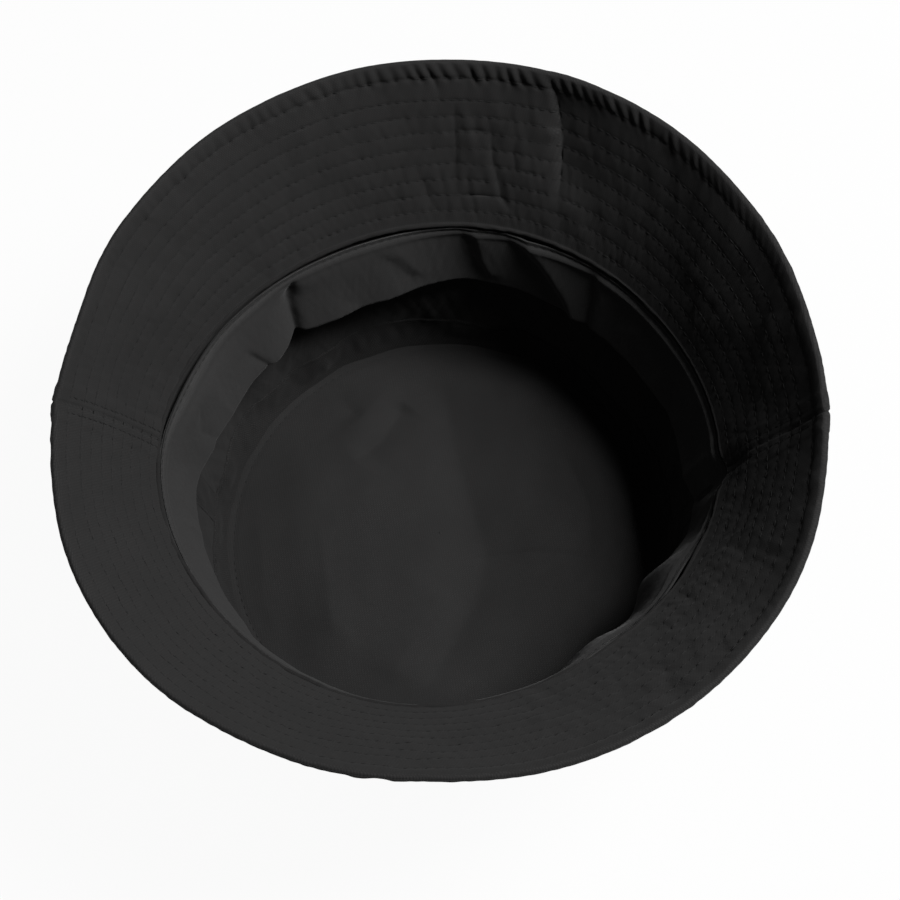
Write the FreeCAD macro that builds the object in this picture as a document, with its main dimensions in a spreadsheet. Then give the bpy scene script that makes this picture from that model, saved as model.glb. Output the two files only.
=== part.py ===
"""Bucket hat, sewn from cotton twill, stored upside down: the crown's tip on the ground, the brim opening
upward. Millimetres, +Z up. The origin is the middle of the crown tip's outer face, +X goes through the
right side seam and -Y is the front. Every piece of fabric and every run of thread is a solid of its own."""

import os

import FreeCAD, Part

DRIVING_DIMENSIONS = {
    # The head opening, at the inner face of the crown where the brim is joined.
    "opening_half_width": 94.7,
    "opening_half_depth": 88.3,
    # The crown's tip, to the outer face of the crown side.
    "tip_half_width": 81.0,
    "tip_half_depth": 80.0,
    "crown_depth": 79.0,
    # The brim, from the joint to its edge.
    "brim_flare_side": 25.7,
    "brim_flare_front": 32.0,
    "brim_rise": 54.0,
    "brim_turning": 5.0,
    # Fabric, measured level, across the slope of the piece.
    "twill": 0.8,
    "interlining": 0.5,
    "seam_tape": 0.4,
    # The sweatband hangs from the joint and stands off the crown.
    "sweatband_width": 29.0,
    "sweatband_gap_top": 0.9,
    "sweatband_gap_edge": 5.5,
    "piping_radius": 0.9,
    "crown_tape_width": 15.0,
    "side_tape_width": 14.0,
    # Thread and its rows.
    "thread_radius": 0.22,
    "row_spacing": 0.098,
    "first_row": 0.085,
    "edge_row": 0.9,
    "seam_row_offset": 3.0,
    "cutter_size": 400.0,
}
BRIM_ROWS = 8
SIDES = {"left": -1, "right": 1}
HALVES = {"front": -1, "back": 1}

doc = FreeCAD.newDocument("BucketHat")
sheet = doc.addObject("Spreadsheet::Sheet", "Sizes")
for row, (alias, value) in enumerate(DRIVING_DIMENSIONS.items(), start=1):
    sheet.set(f"A{row}", alias)
    sheet.set(f"B{row}", str(value))
    sheet.setAlias(f"B{row}", alias)
doc.recompute()

SUB_PARTS = []


def sized(words):
    """An expression in which every driving dimension's name is read from the sheet."""
    return " ".join(f"Sizes.{w}" if w in DRIVING_DIMENSIONS else w for w in words.split())


def bind(item, **sizes):
    """Ties the item's properties to expressions. A double underscore stands for a dot."""
    for name, words in sizes.items():
        item.setExpression(name.replace("__", "."), sized(words))
    return item


def sub_part(item, label):
    """Names a finished piece of the hat."""
    item.Label = label
    SUB_PARTS.append(item)
    return item


def oval(name, outline):
    """A level ellipse, long axis along X, from (half width, half depth, height)."""
    half_width, half_depth, height = outline
    item = doc.addObject("Part::Ellipse", name)
    return bind(item, MajorRadius=half_width, MinorRadius=half_depth, Placement__Base__z=height)


def inset(outline, distance):
    """The outline drawn in all round by a distance."""
    half_width, half_depth, height = outline
    return (f"{half_width} - ( {distance} )", f"{half_depth} - ( {distance} )", height)


def stacked(name, outlines):
    """A solid with straight sides from each level ellipse to the next one above it."""
    solid = doc.addObject("Part::Loft", name)
    solid.Sections = [oval(f"{name}_{number}", outline) for number, outline in enumerate(outlines)]
    solid.Solid = True
    solid.Ruled = True
    return solid


def cut(name, base, tool):
    item = doc.addObject("Part::Cut", name)
    item.Base = base
    item.Tool = tool
    return item


def common(name, base, tool):
    item = doc.addObject("Part::Common", name)
    item.Base = base
    item.Tool = tool
    return item


def fuse(name, base, tool):
    item = doc.addObject("Part::Fuse", name)
    item.Base = base
    item.Tool = tool
    return item


def group(name, items):
    item = doc.addObject("Part::Compound", name)
    item.Links = items
    return item


def box(name, width, depth, height, corner):
    """A box from its three sizes and its lowest corner."""
    item = doc.addObject("Part::Box", name)
    bind(item, Length=width, Width=depth, Height=height)
    x, y, z = corner
    return bind(item, Placement__Base__x=x, Placement__Base__y=y, Placement__Base__z=z)


def front_or_back(name, direction):
    """A box that holds everything in front of the side seams, or everything behind them."""
    y = "0" if direction > 0 else "- cutter_size"
    return box(name, "cutter_size * 2", "cutter_size", "cutter_size", ("- cutter_size", y, "0"))


def oval_cord(name, outline, radius):
    """A cord that follows a level ellipse. Its section is an octagon."""
    half_width, half_depth, height = outline
    corners = (("- 1", 0.41), ("- 0.41", 1), ("0.41", 1), ("1", 0.41))
    skins = []
    for skin, sign in (("outside", -1), ("inside", 1)):
        levels = [(half_width, half_depth, f"{height} + {radius} * ( {up} )") for up, _ in corners]
        reaches = [f"{radius} * {sign * out}" for _, out in corners]
        skins.append(stacked(f"{name}_{skin}", [inset(*pair) for pair in zip(levels, reaches)]))
    return cut(name, *skins)


def straight_thread(name, lower, upper):
    """A thread between two points, each (x, y, z)."""
    ends = []
    for place, (x, y, z) in zip(("lower", "upper"), (lower, upper)):
        end = doc.addObject("Part::Circle", f"{name}_{place}")
        bind(end, Radius="thread_radius")
        ends.append(bind(end, Placement__Base__x=x, Placement__Base__y=y, Placement__Base__z=z))
    thread = doc.addObject("Part::Loft", name)
    thread.Sections = ends
    thread.Solid = True
    thread.Ruled = True
    return thread


# Outlines. The crown side stands on the tip and reaches the joint; the brim stands on the crown side.

TIP = ("tip_half_width", "tip_half_depth", "0")
CROWN_FOOT = ("tip_half_width", "tip_half_depth", "twill")
CROWN_LEAN_X = "( opening_half_width + twill - tip_half_width ) / ( crown_depth - twill )"
CROWN_LEAN_Y = "( opening_half_depth + twill - tip_half_depth ) / ( crown_depth - twill )"


def crown_outline(height):
    """The outer face of the crown side at a height."""
    return (
        f"tip_half_width + {CROWN_LEAN_X} * ( {height} - twill )",
        f"tip_half_depth + {CROWN_LEAN_Y} * ( {height} - twill )",
        height,
    )


def brim_outline(share):
    """The outer face of the brim, a share of the way from the joint to the edge."""
    return (
        f"opening_half_width + twill * 2 + brim_flare_side * {share}",
        f"opening_half_depth + twill * 2 + brim_flare_front * {share}",
        f"crown_depth + brim_rise * {share}",
    )


def make_crown():
    """The tip, and the crown side's two halves with the tapes that bind their seams."""
    tip = doc.addObject("Part::Extrusion", "top_panel")
    tip.Base = oval("top_panel_outline", TIP)
    tip.DirMode = "Custom"
    tip.Dir = FreeCAD.Vector(0, 0, 1)
    tip.Solid = True
    sub_part(bind(tip, LengthFwd="twill"), "top_panel")

    foot = crown_outline("twill")
    joint = crown_outline("crown_depth")
    outside = stacked("crown_outside", [foot, joint])
    inside = stacked("crown_inside", [inset(foot, "twill"), inset(joint, "twill")])
    side = cut("crown_side", outside, inside)
    for half, direction in HALVES.items():
        region = front_or_back(f"crown_{half}_region", direction)
        sub_part(common(f"crown_side_{half}", side, region), f"crown_side_{half}")

    tape_top = "crown_tape_width + twill"
    covered = stacked(
        "crown_tape_outside",
        [inset(foot, "twill"), inset(crown_outline(tape_top), "twill")],
    )
    floor = "twill + seam_tape"
    hollow = stacked(
        "crown_tape_inside",
        [inset(crown_outline(level), "twill + seam_tape") for level in (floor, tape_top)],
    )
    bare_tip = stacked(
        "crown_tape_hole",
        [inset(crown_outline(level), "twill + crown_tape_width") for level in ("twill", floor)],
    )
    tape = cut("crown_seam_tape", covered, fuse("crown_tape_void", hollow, bare_tip))
    sub_part(tape, "crown_seam_tape")

    tape_end = "crown_depth - piping_radius * 3"
    tape_ends = [crown_outline(level) for level in (tape_top, tape_end)]
    tape_outside = stacked("side_tape_outside", [inset(end, "twill") for end in tape_ends])
    tape_inside = stacked("side_tape_inside", [inset(end, "twill + seam_tape") for end in tape_ends])
    tape_ring = cut("side_tape_ring", tape_outside, tape_inside)
    for side_name, direction in SIDES.items():
        x = "0" if direction > 0 else "- cutter_size"
        corner = (x, "- side_tape_width / 2", "0")
        region = box(f"{side_name}_tape_region", "cutter_size", "side_tape_width", "cutter_size", corner)
        sub_part(common(f"side_tape_{side_name}", tape_ring, region), f"side_seam_tape_{side_name}")


def make_brim():
    """The brim's two faces and the interlining between them. At the edge the top side is turned in over the
    interlining, so that no raw edge shows."""
    faces = {}
    insets = {
        "top": "0",
        "stiffened": "twill",
        "under": "twill + interlining",
        "open": "twill * 2 + interlining",
    }
    for face, distance in insets.items():
        ends = [inset(brim_outline(share), distance) for share in ("0", "1")]
        faces[face] = stacked(f"brim_{face}_face", ends)
    corner = ("- cutter_size", "- cutter_size", "0")
    below_turning = "crown_depth + brim_rise - brim_turning"
    short = box("brim_turning_region", "cutter_size * 2", "cutter_size * 2", below_turning, corner)
    stiffened = common("brim_stiffened", faces["stiffened"], short)
    layers = {
        "top": cut("brim_top", faces["top"], fuse("brim_top_void", stiffened, faces["under"])),
        "interlining": cut("brim_stiffening", stiffened, faces["under"]),
        "under": cut("brim_under", faces["under"], faces["open"]),
    }
    labels = {"top": "brim_top_side", "interlining": "brim_interlining", "under": "brim_underside"}
    for layer, solid in layers.items():
        for half, direction in HALVES.items():
            region = front_or_back(f"brim_{layer}_{half}_region", direction)
            piece = common(f"brim_{layer}_{half}", solid, region)
            sub_part(piece, f"{labels[layer]}_{half}")


def make_sweatband():
    """The band inside the head opening, which hangs free below its piped fold."""
    fold = "crown_depth - piping_radius * 2"
    edge = "crown_depth - sweatband_width"
    top = inset(crown_outline(fold), "twill + sweatband_gap_top")
    bottom = inset(crown_outline(edge), "twill + sweatband_gap_edge")
    outside = stacked("sweatband_outside", [bottom, top])
    inside = stacked("sweatband_inside", [inset(bottom, "twill"), inset(top, "twill")])
    sub_part(cut("sweatband", outside, inside), "sweatband")
    along = ("opening_half_width", "opening_half_depth", "crown_depth - piping_radius")
    piping = oval_cord("piping", inset(along, "piping_radius + sweatband_gap_top"), "piping_radius")
    sub_part(piping, "sweatband_piping")


def make_round_threads():
    """Every run of thread that goes right round the hat. A brim row shows on both faces."""
    through = "twill * 2 + interlining"
    rows = []
    for number in range(BRIM_ROWS):
        row = brim_outline(f"( first_row + row_spacing * {number} )")
        rows.append(oval_cord(f"brim_row_{number}_top", row, "thread_radius"))
        rows.append(oval_cord(f"brim_row_{number}_under", inset(row, through), "thread_radius"))
    sub_part(group("brim_rows", rows), "brim_topstitch_thread")
    edge = [
        oval_cord("edge_row_top", brim_outline("edge_row"), "thread_radius"),
        oval_cord("edge_row_under", inset(brim_outline("edge_row"), through), "thread_radius"),
    ]
    sub_part(group("edge_rows", edge), "brim_edge_thread")

    tape_face = ("tip_half_width", "tip_half_depth", "twill + seam_tape")
    beside_tip = crown_outline("( twill + seam_row_offset * 2 )")
    tip_rows = [
        oval_cord("tip_row", inset(tape_face, "twill + seam_row_offset * 2"), "thread_radius"),
        oval_cord("tip_side_row", beside_tip, "thread_radius"),
        oval_cord("tip_side_row_inside", inset(beside_tip, "twill + seam_tape"), "thread_radius"),
    ]
    sub_part(group("tip_rows", tip_rows), "crown_tip_thread")
    joint_row = oval_cord("joint_row", crown_outline("( crown_depth - seam_row_offset )"), "thread_radius")
    sub_part(joint_row, "crown_joint_thread")
    band_height = "crown_depth - piping_radius * 3"
    band_face = inset(crown_outline(band_height), "twill * 2 + sweatband_gap_top + thread_radius")
    sub_part(oval_cord("band_row", band_face, "thread_radius"), "sweatband_thread")


def make_side_threads():
    """The straight runs of thread on both sides of each side seam, on the crown and on the brim."""
    through = "( twill * 2 + interlining )"
    crown_heights = ("( twill + seam_row_offset * 2 )", "( crown_depth - seam_row_offset * 2 )")
    crown_ends = [crown_outline(height) for height in crown_heights]
    brim_ends = [brim_outline(share) for share in ("0.02", "0.98")]

    def run(name, direction, toward, ends, depth="0"):
        """One thread beside a seam, a depth inside the outer face whose outlines at both ends are given."""
        points = [(f"{direction} * ( {width} - {depth} )", f"{toward} * seam_row_offset", height)
                  for width, _, height in ends]
        return straight_thread(name, *points)

    for side_name, direction in SIDES.items():
        crown_runs = []
        brim_runs = []
        for half, toward in HALVES.items():
            name = f"{side_name}_{half}"
            crown_runs.append(run(f"crown_run_{name}", direction, toward, crown_ends))
            brim_runs.append(run(f"brim_run_top_{name}", direction, toward, brim_ends))
            brim_runs.append(run(f"brim_run_under_{name}", direction, toward, brim_ends, through))
        sub_part(group(f"crown_runs_{side_name}", crown_runs), f"crown_side_thread_{side_name}")
        sub_part(group(f"brim_runs_{side_name}", brim_runs), f"brim_seam_thread_{side_name}")


make_crown()
make_brim()
make_sweatband()
make_round_threads()
make_side_threads()
doc.recompute()

for item in doc.Objects:
    if "Invalid" in item.State or "Error" in item.State:
        raise RuntimeError(f"{item.Name} did not build: {item.State}")
for item in SUB_PARTS:
    if item.Shape.isNull() or not item.Shape.isValid() or not item.Shape.Solids:
        raise RuntimeError(f"{item.Label} is not a sound solid")

os.makedirs("parts", exist_ok=True)
for item in SUB_PARTS:
    item.Shape.exportStep(f"parts/{item.Label}.step")
    size = item.Shape.BoundBox
    print(f"{item.Label}: {len(item.Shape.Solids)} solids, {item.Shape.Volume / 1000:.2f} cm3, "
          f"z {size.ZMin:.2f} to {size.ZMax:.2f}, {size.XLength:.1f} x {size.YLength:.1f} mm")
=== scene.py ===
"""Black cotton-twill bucket hat, lying upside down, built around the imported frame."""
import math

import bpy
import numpy as np
from mathutils import Matrix, Vector


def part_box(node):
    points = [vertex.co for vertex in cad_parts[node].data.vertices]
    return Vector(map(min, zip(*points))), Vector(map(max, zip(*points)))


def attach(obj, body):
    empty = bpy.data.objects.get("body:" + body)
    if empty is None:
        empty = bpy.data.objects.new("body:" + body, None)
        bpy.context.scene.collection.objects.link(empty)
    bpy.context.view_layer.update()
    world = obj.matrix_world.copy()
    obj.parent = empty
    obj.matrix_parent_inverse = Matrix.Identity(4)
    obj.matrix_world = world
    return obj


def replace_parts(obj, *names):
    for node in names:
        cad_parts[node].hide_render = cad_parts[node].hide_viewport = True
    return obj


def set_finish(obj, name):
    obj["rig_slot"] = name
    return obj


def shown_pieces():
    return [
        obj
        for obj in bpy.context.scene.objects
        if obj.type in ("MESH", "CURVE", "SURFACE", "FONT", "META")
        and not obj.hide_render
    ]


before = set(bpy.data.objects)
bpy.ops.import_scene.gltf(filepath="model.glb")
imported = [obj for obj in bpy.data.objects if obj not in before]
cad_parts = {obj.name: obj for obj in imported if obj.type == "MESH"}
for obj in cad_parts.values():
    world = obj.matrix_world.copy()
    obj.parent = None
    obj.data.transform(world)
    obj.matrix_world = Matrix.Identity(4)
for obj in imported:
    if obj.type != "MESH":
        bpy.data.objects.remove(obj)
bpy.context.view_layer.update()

MM = 0.001
TAU = 2 * math.pi

# ------------ sizes that the frame gives

TIP_TOP, CROWN_TOP, BRIM_TOP = (
    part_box(node)[1] for node in ("top_panel", "crown_side_back", "brim_top_side_back")
)
TIP_HALF_WIDTH, TIP_HALF_DEPTH, TWILL = TIP_TOP
JOINT_Z = CROWN_TOP.z
OPENING_HALF_WIDTH, OPENING_HALF_DEPTH = CROWN_TOP.x - TWILL, CROWN_TOP.y - TWILL
BRIM_RISE = BRIM_TOP.z - JOINT_Z
BRIM_FLARE = (BRIM_TOP.x - CROWN_TOP.x + BRIM_TOP.y - CROWN_TOP.y) / 2
BRIM_WIDTH = math.hypot(BRIM_RISE, BRIM_FLARE)
BAND_WIDTH = JOINT_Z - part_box("sweatband")[0].z

# ------------ how this soft hat lies

LIE = math.radians(8)  # the opening's widest direction is turned this far from the side seams
BRIM_SLOPE = 60  # degrees above level
# The brim's slope rises and falls round the hat: (waves per turn, degrees, where it is steepest).
BRIM_WAVES = ((1, 4.9, 127), (2, 5.8, 4), (3, 1.9, 34), (4, 2.1, -4))
OPENING_SQUARENESS, SQUARE_TURN = 0.95 * MM, math.radians(54)
# The right side seam draws the joint out: how far, where, how widely, and how far from the joint that fades.
SEAM_TUCK = 2.7 * MM
TUCK_PLACE, TUCK_WIDTH, TUCK_REACH = math.radians(-2.5), math.radians(3.2), 14 * MM
# Where the side seams are, in degrees: at the joint, and how much further round at the brim's edge.
SEAM_LINES = {"right": (-1.3, -1.7), "left": (178.4, 7.4)}
TIP_SHIFT = (-2.2 * MM, 1.6 * MM)

# ------------ camera

CAMERA_AZIMUTH = math.radians(8)
CAMERA_ELEVATION = math.radians(65.9)
CAMERA_ROLL = math.radians(5.4)
CAMERA_DISTANCE = 709 * MM
CAMERA_LENS, CAMERA_SENSOR = 84.7, 36
CAMERA_SHIFT = (0.0134, 0.0043)


def add_object(name, data):
    made = bpy.data.objects.new(name, data)
    bpy.context.scene.collection.objects.link(made)
    return made


def make_camera():
    """Looks down into the hat from the front, a little rolled."""
    back = Vector((
        math.sin(CAMERA_AZIMUTH) * math.cos(CAMERA_ELEVATION),
        -math.cos(CAMERA_AZIMUTH) * math.cos(CAMERA_ELEVATION),
        math.sin(CAMERA_ELEVATION),
    ))
    data = bpy.data.cameras.new("camera")
    camera = add_object("camera", data)
    look = (-back).to_track_quat("-Z", "Y").to_matrix().to_4x4()
    roll = Matrix.Rotation(-CAMERA_ROLL, 4, "Z")
    place = Vector((0, 0, JOINT_Z)) + back * CAMERA_DISTANCE
    camera.matrix_world = Matrix.Translation(place) @ look @ roll
    data.lens = CAMERA_LENS
    data.sensor_width = CAMERA_SENSOR
    data.shift_x, data.shift_y = CAMERA_SHIFT
    data.clip_start = 50 * MM
    bpy.context.scene.camera = camera


# ------------ the hat's surfaces
# An angle goes round the hat from the right side seam, in radians. Arrays in, arrays out, in metres.

def unit(v):
    return v / np.maximum(np.linalg.norm(v, axis=-1, keepdims=True), 1e-12)


def turned(x, y, z):
    """Points of the outline's own axes, turned into the hat's."""
    c, s = math.cos(LIE), math.sin(LIE)
    return np.stack([c * x - s * y, s * x + c * y, z], axis=-1)


def opening(angle):
    """The joint of crown and brim: its points, and the level direction that leaves it at a right angle."""
    a = angle - LIE
    outward = np.stack([np.cos(a) / OPENING_HALF_WIDTH, np.sin(a) / OPENING_HALF_DEPTH], axis=-1)
    outward = unit(outward)
    square = OPENING_SQUARENESS * np.cos(4 * a + SQUARE_TURN)
    x = OPENING_HALF_WIDTH * np.cos(a) + outward[..., 0] * square
    y = OPENING_HALF_DEPTH * np.sin(a) + outward[..., 1] * square
    flat = np.zeros_like(a)
    return turned(x, y, flat + JOINT_Z), turned(outward[..., 0], outward[..., 1], flat)


def tucked(angle, distance):
    """How far the right side seam draws the cloth outward, at a distance from the joint."""
    off = wrapped(angle - TUCK_PLACE) / TUCK_WIDTH
    return SEAM_TUCK * np.exp(-off ** 2 - (distance / TUCK_REACH) ** 2)


def brim_slope(angle):
    waves = sum(size * np.cos(count * (angle - math.radians(crest))) for count, size, crest in BRIM_WAVES)
    return np.radians(BRIM_SLOPE + waves)


def brim(angle, share):
    """The middle of the brim's thickness, from the joint (0) to the edge (1)."""
    start, outward = opening(angle)
    slope = brim_slope(angle)
    along = BRIM_WIDTH * share
    level = outward * (along * np.cos(slope) + tucked(angle, along))[..., None]
    flat = np.zeros_like(along)
    return start + level + np.stack([flat, flat, along * np.sin(slope)], axis=-1)


def tip_edge(angle, reach=1.0, z=0.0):
    """The crown tip's outline, or a smaller one like it."""
    a = angle - LIE
    x = TIP_HALF_DEPTH * np.cos(a) * reach + TIP_SHIFT[0]
    y = TIP_HALF_WIDTH * np.sin(a) * reach + TIP_SHIFT[1]
    return turned(x, y, np.zeros_like(x) + z)


def crown(angle, share):
    """The crown side's inner face, from the joint (0) to the tip (1)."""
    top, outward = opening(angle)
    tuck = outward * tucked(angle, share * CROWN_HEIGHT)[..., None]
    return top + (tip_edge(angle, 1.0, TWILL) - top) * share[..., None] + tuck


def seam_angle(side, share):
    """Where a side seam of the brim runs. The cloth has slipped a little, so the seams slant."""
    at_joint, slant = SEAM_LINES[side]
    return np.radians(at_joint + slant * share)


def wrapped(angle):
    """The same angle between minus and plus half a turn."""
    return (angle + math.pi) % TAU - math.pi


def bump(x, width):
    return np.exp(-(x / width) ** 2)


def smooth(x, low, high):
    """Rises from 0 at low to 1 at high."""
    t = np.clip((x - low) / (high - low), 0, 1)
    return t * t * (3 - 2 * t)


def ripples(angle, across, seed, turns, lengths, count=24):
    """Unit noise made of waves that close round the hat: turns is the range of waves per turn, and lengths
    the range of wavelengths the other way, in metres."""
    random = np.random.default_rng(seed)
    total = np.zeros(np.broadcast(angle, across).shape)
    for _ in range(count):
        waves = random.integers(turns[0], turns[1] + 1)
        length = random.uniform(*lengths) * random.choice([-1, 1])
        total += np.cos(waves * angle + TAU * across / length + random.uniform(0, TAU))
    return total / math.sqrt(count / 2)


# ------------ meshes

def mesh_object(name, vertices, faces, slot, uv=None, uv_faces=None):
    mesh = bpy.data.meshes.new(name)
    vertices = np.ascontiguousarray(vertices.reshape(-1, 3), dtype=np.float32)
    faces = np.ascontiguousarray(faces, dtype=np.int32)
    sides = faces.shape[1]
    mesh.vertices.add(len(vertices))
    mesh.vertices.foreach_set("co", vertices.ravel())
    mesh.loops.add(faces.size)
    mesh.loops.foreach_set("vertex_index", faces.ravel())
    mesh.polygons.add(len(faces))
    mesh.polygons.foreach_set("loop_start", np.arange(0, faces.size, sides, dtype=np.int32))
    mesh.polygons.foreach_set("loop_total", np.full(len(faces), sides, dtype=np.int32))
    if uv is not None:
        layer = mesh.uv_layers.new(name="cloth")
        layer.data.foreach_set("uv", uv.reshape(-1, 2)[uv_faces.ravel()].astype(np.float32).ravel())
    mesh.update(calc_edges=True)
    mesh.shade_smooth()
    made = add_object(name, mesh)
    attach(made, "root")
    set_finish(made, slot)
    return made


def grid_quads(n, k, closed, stride=None, flip=False):
    """Quads of a grid of n by k vertices. stride is the number of rows that the numbering has."""
    i, j = np.meshgrid(np.arange(n if closed else n - 1), np.arange(k - 1), indexing="ij")
    i, j = i.ravel(), j.ravel()
    i2 = (i + 1) % (stride or n)
    quads = np.stack([i * k + j, i2 * k + j, i2 * k + j + 1, i * k + j + 1], axis=-1)
    return quads[:, ::-1] if flip else quads


def tube_quads(n, k):
    """Quads of a ring-shaped tube of n by k vertices, and the same quads over its pattern, which is open."""
    i, j = np.meshgrid(np.arange(n), np.arange(k), indexing="ij")
    i, j = i.ravel(), j.ravel()
    i2, j2 = (i + 1) % n, (j + 1) % k
    quads = np.stack([i * k + j, i * k + j2, i2 * k + j2, i2 * k + j], axis=-1)
    w = k + 1
    flat = np.stack([i * w + j, i * w + j + 1, (i + 1) * w + j + 1, (i + 1) * w + j], axis=-1)
    return quads, flat


def edge_quads(first, second, flip):
    """Quads that join two runs of vertices, of which the second is on the other side of the cloth."""
    quads = np.stack([first[:-1], second[:-1], second[1:], first[1:]], axis=-1)
    return quads[:, ::-1] if flip else quads


def cloth(name, slot, face, back, uv, closed=False, flip=False):
    """A closed piece of cloth between two grids of points. uv has one row more than the grids where they
    close round the hat. flip is set where the faces would otherwise look inwards."""
    n, k = face.shape[:2]
    count = n * k
    number = np.arange(count).reshape(n, k)
    faces = [grid_quads(n, k, closed, flip=flip), grid_quads(n, k, closed, flip=not flip) + count]
    rows = np.arange(n + 1) % n if closed else np.arange(n)
    for j, turn in ((0, not flip), (k - 1, flip)):
        faces.append(edge_quads(number[rows, j], number[rows, j] + count, turn))
    if not closed:
        for i, turn in ((0, flip), (n - 1, not flip)):
            faces.append(edge_quads(number[i], number[i] + count, turn))
    faces = np.concatenate(faces)
    uv_faces = faces % count
    if closed:
        ring = grid_quads(n, k, True, stride=n + 1)
        uv_faces[: len(ring)] = ring[:, ::-1] if flip else ring
        uv_faces[len(ring): 2 * len(ring)] = ring if flip else ring[:, ::-1]
    vertices = np.concatenate([face.reshape(-1, 3), back.reshape(-1, 3)])
    return mesh_object(name, vertices, faces, slot, uv, uv_faces)


STITCH_PITCH = 3.0 * MM
STITCH_LENGTH = 2.2 * MM
THREAD_RADIUS = 0.16 * MM
THREAD_RINGS, THREAD_SIDES = 4, 5
THREAD_TAPER, THREAD_BOW = 0.6, 0.9  # how much its ends are thinner, and lower in radii
THREAD_END = (0.56, 1.6)  # its tips: from its middle in lengths, and down in radii


def stitches(name, places, along, up):
    """Short threads with sunken ends, one at each place."""
    rings, sides, radius = THREAD_RINGS, THREAD_SIDES, THREAD_RADIUS
    t = np.linspace(-1, 1, rings)
    turn = np.arange(sides) * TAU / sides
    width = radius * np.sqrt(1 - THREAD_TAPER * t ** 2)
    x = np.repeat(t * STITCH_LENGTH / 2, sides)
    y = (width[:, None] * np.cos(turn)).ravel()
    z = (width[:, None] * np.sin(turn)).ravel() - np.repeat(t ** 2 * radius * THREAD_BOW, sides)
    end_x, end_z = STITCH_LENGTH * THREAD_END[0], -radius * THREAD_END[1]
    x = np.append(x, [-end_x, end_x])
    y = np.append(y, [0, 0])
    z = np.append(z, [end_z, end_z])
    side = unit(np.cross(up, along))
    vertices = (
        places[:, None] + along[:, None] * x[None, :, None]
        + side[:, None] * y[None, :, None] + up[:, None] * z[None, :, None]
    )
    triangles = []
    last = (rings - 1) * sides
    for j in range(sides):
        j2 = (j + 1) % sides
        for r in range(rings - 1):
            a, b, c, d = r * sides + j, r * sides + j2, (r + 1) * sides + j2, (r + 1) * sides + j
            triangles += [(a, b, c), (a, c, d)]
        triangles += [(last + sides, j2, j), (last + sides + 1, last + j, last + j2)]
    triangles = np.array(triangles)
    step = len(x) * np.arange(len(places))
    faces = (triangles[None] + step[:, None, None]).reshape(-1, 3)
    return mesh_object(name, vertices, faces, "black_thread")


def make_rows(name, node, rows):
    """One piece from rows of stitches, each given as places, directions along it and directions up."""
    places, alongs, ups = (np.concatenate(part) for part in zip(*rows))
    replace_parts(stitches(name, places, alongs, ups), node)


# ------------ folds and creases

FOLD_TIP = 0.2  # how rounded the top of a fold is, in shares of its width


def fold(x, y, points, width, soft_ends=0.35):
    """1 on a line through the points, falling away beside it and towards its two ends. width is how far it
    falls, or a pair: to the right and to the left of the line, looking along it."""
    right, left = width if isinstance(width, tuple) else (width, width)
    best = np.zeros(np.broadcast(x, y).shape)
    pieces = len(points) - 1
    for number, ((ax, ay), (bx, by)) in enumerate(zip(points[:-1], points[1:])):
        length = math.hypot(bx - ax, by - ay)
        dx, dy = (bx - ax) / length, (by - ay) / length
        t = np.clip(((x - ax) * dx + (y - ay) * dy) / length, 0, 1)
        off_x, off_y = x - ax - t * length * dx, y - ay - t * length * dy
        off = np.sqrt(off_x ** 2 + off_y ** 2) + 1e-9
        reach = (right + left + (left - right) * (dx * off_y - dy * off_x) / off) / 2
        whole = (number + t) / pieces
        strength = smooth(whole, -0.02, soft_ends) * smooth(1 - whole, -0.02, soft_ends) if soft_ends else 1
        best = np.maximum(best, strength * np.exp(FOLD_TIP - np.sqrt((off / reach) ** 2 + FOLD_TIP ** 2)))
    return best


# ------------ brim

LAYER, INTERLINING = 0.7 * MM, 0.24 * MM  # the thickness of a brim cloth and of the layer between
BRIM_HALF = 1.05 * MM  # from the brim's middle to its face
EDGE_ROW = 6.1 * MM  # the edge stitch's distance from the brim's edge
ROWS = 8
FIRST_ROW, ROW_SPACING = 0.085, 0.098  # shares of the brim's width
SEAM_STITCH = 3.0 * MM  # the distance of the rows beside a seam from it
# How deep and how wide the rows pull the cloth in: round the brim, beside its edge and beside its seams.
ROW_PULL = (0.15 * MM, 0.6 * MM)
EDGE_PULL = (0.42 * MM, 0.7 * MM)
SEAM_PULL = (0.25 * MM, 0.6 * MM)
QUILTING = 0.05 * MM  # how far the cloth swells between the rows
HEM_SWELL = 0.28 * MM  # how far the seam allowances inside lift the face
PUCKER_HEIGHT, PUCKER_LENGTH, PUCKER_SLANT = 1.05 * MM, 4.3 * MM, 1.2
SEAM_WIDTH = 7 * MM  # the seam allowance to each side of a side seam
SEAM_GROOVE = (0.85 * MM, 0.45 * MM)
BROAD_DENTS, SMALL_DENTS, FINE_DENTS = 0.34 * MM, 0.07 * MM, 0.05 * MM
BRIM_STEPS, BRIM_PLAIN_COLUMNS = 450, 52
THREAD_LIFT = 0.02 * MM
ROW_SHARES = [FIRST_ROW + ROW_SPACING * row for row in range(ROWS)]
EDGE_SHARE = 1 - EDGE_ROW / BRIM_WIDTH
MID_RADIUS = (OPENING_HALF_WIDTH + OPENING_HALF_DEPTH) / 2


def ring_grid(steps, across):
    """A grid of angles all round the hat, and of what goes the other way."""
    return np.broadcast_arrays(np.linspace(0, TAU, steps, endpoint=False)[:, None], across[None, :])


def degrees_arc(angle, degrees, radius):
    """The distance round the hat from an angle given in degrees."""
    return wrapped(angle - math.radians(degrees)) * radius


def brim_local(angle, share, degrees):
    """Flat coordinates on the brim near an angle: metres round the hat, and metres out from the joint."""
    radius = MID_RADIUS + BRIM_WIDTH * share * math.cos(math.radians(BRIM_SLOPE))
    return degrees_arc(angle, degrees, radius), share * BRIM_WIDTH


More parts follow.
